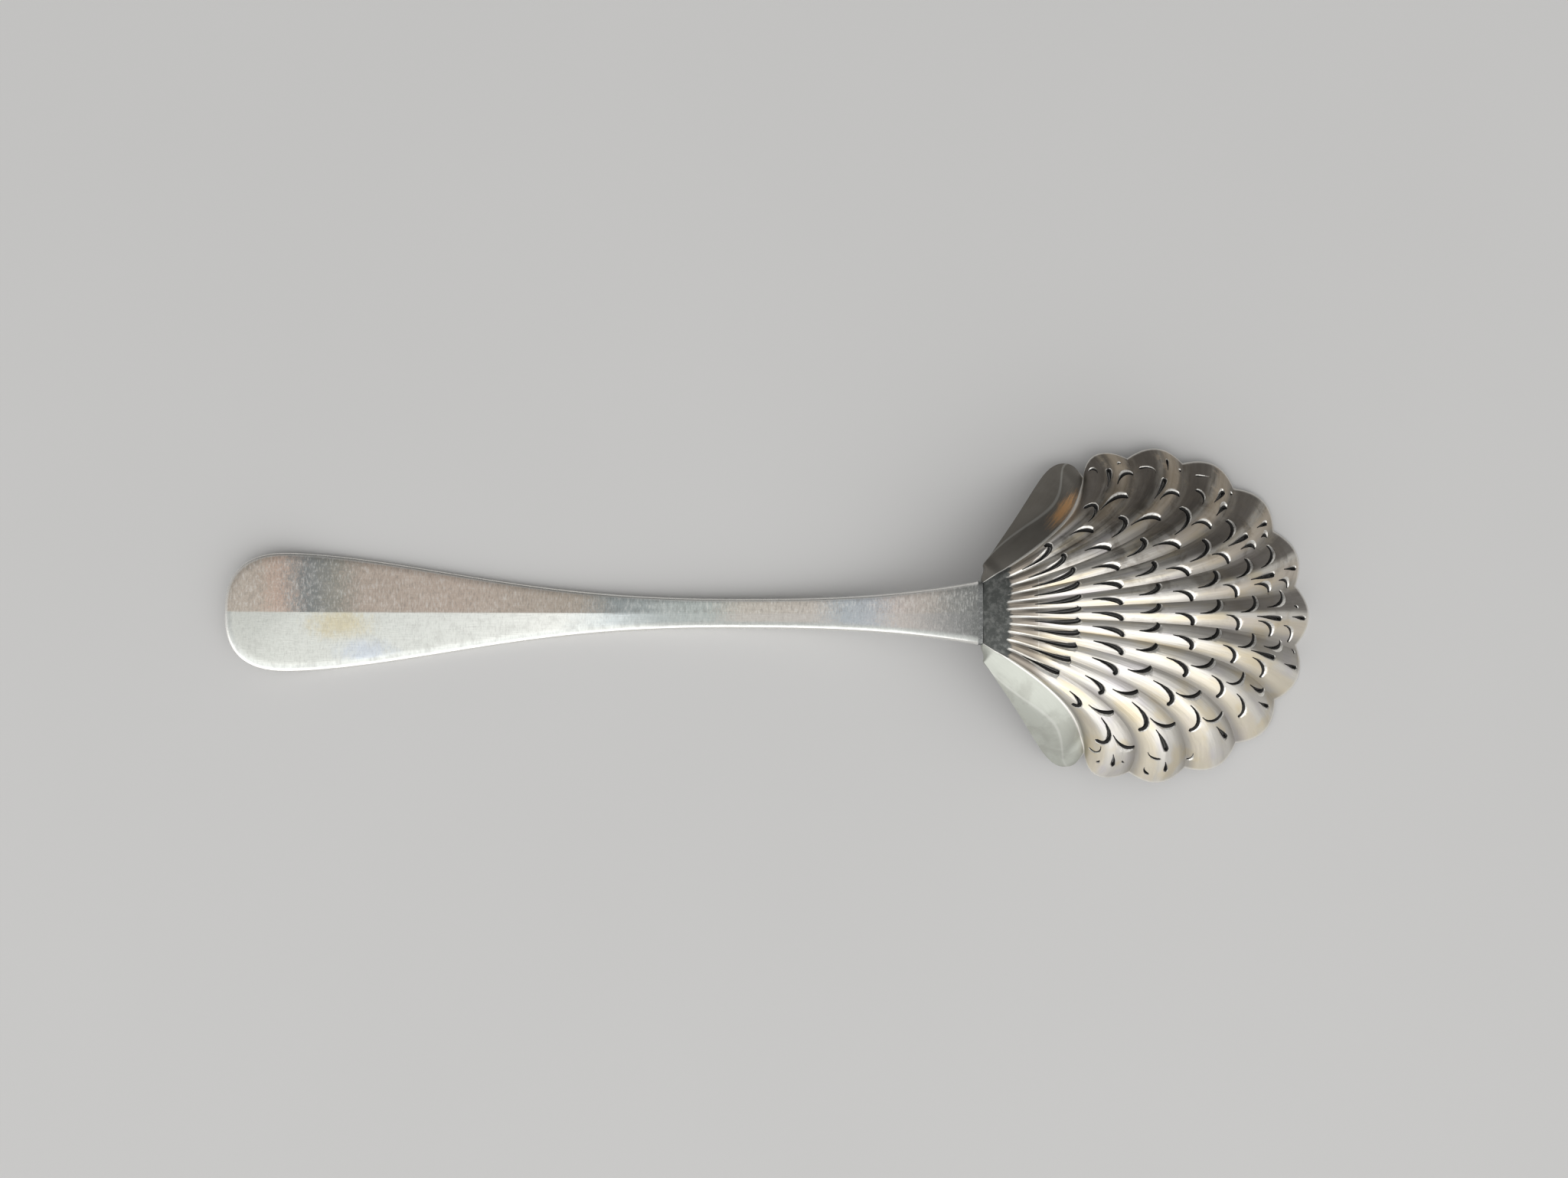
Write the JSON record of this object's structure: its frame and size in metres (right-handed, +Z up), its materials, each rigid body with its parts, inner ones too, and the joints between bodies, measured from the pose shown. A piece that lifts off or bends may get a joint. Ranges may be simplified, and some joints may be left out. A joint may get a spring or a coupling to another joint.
{
  "type": "sifter spoon",
  "caption": "Silver sugar sifter spoon with a pierced scallop-shell bowl, side ears and a long spatulate handle, lying face down.",
  "frame": {"origin": "on the table, under the middle of the spoon's length and width, with the spoon lying face down", "axes": "+X along the spoon from the end of the handle to the front of the bowl, +Z up, away from the table, out of the back of the bowl"},
  "size_m": [0.208, 0.0634, 0.0218],
  "materials": {
    "handle_silver": "old table silver, satin with fine scratches and a thin patchy tarnish, pinkish brown to grey",
    "solder": "silver solder, dull grey and darker than the pieces it joins",
    "bowl_silver": "old table silver, brighter on the lobes, grey-brown in the grooves and round the slots"
  },
  "bodies": {
    "root": {"handle": "handle_silver", "solder_seam": "solder", "bowl": "bowl_silver"}
  },
  "joints": []
}
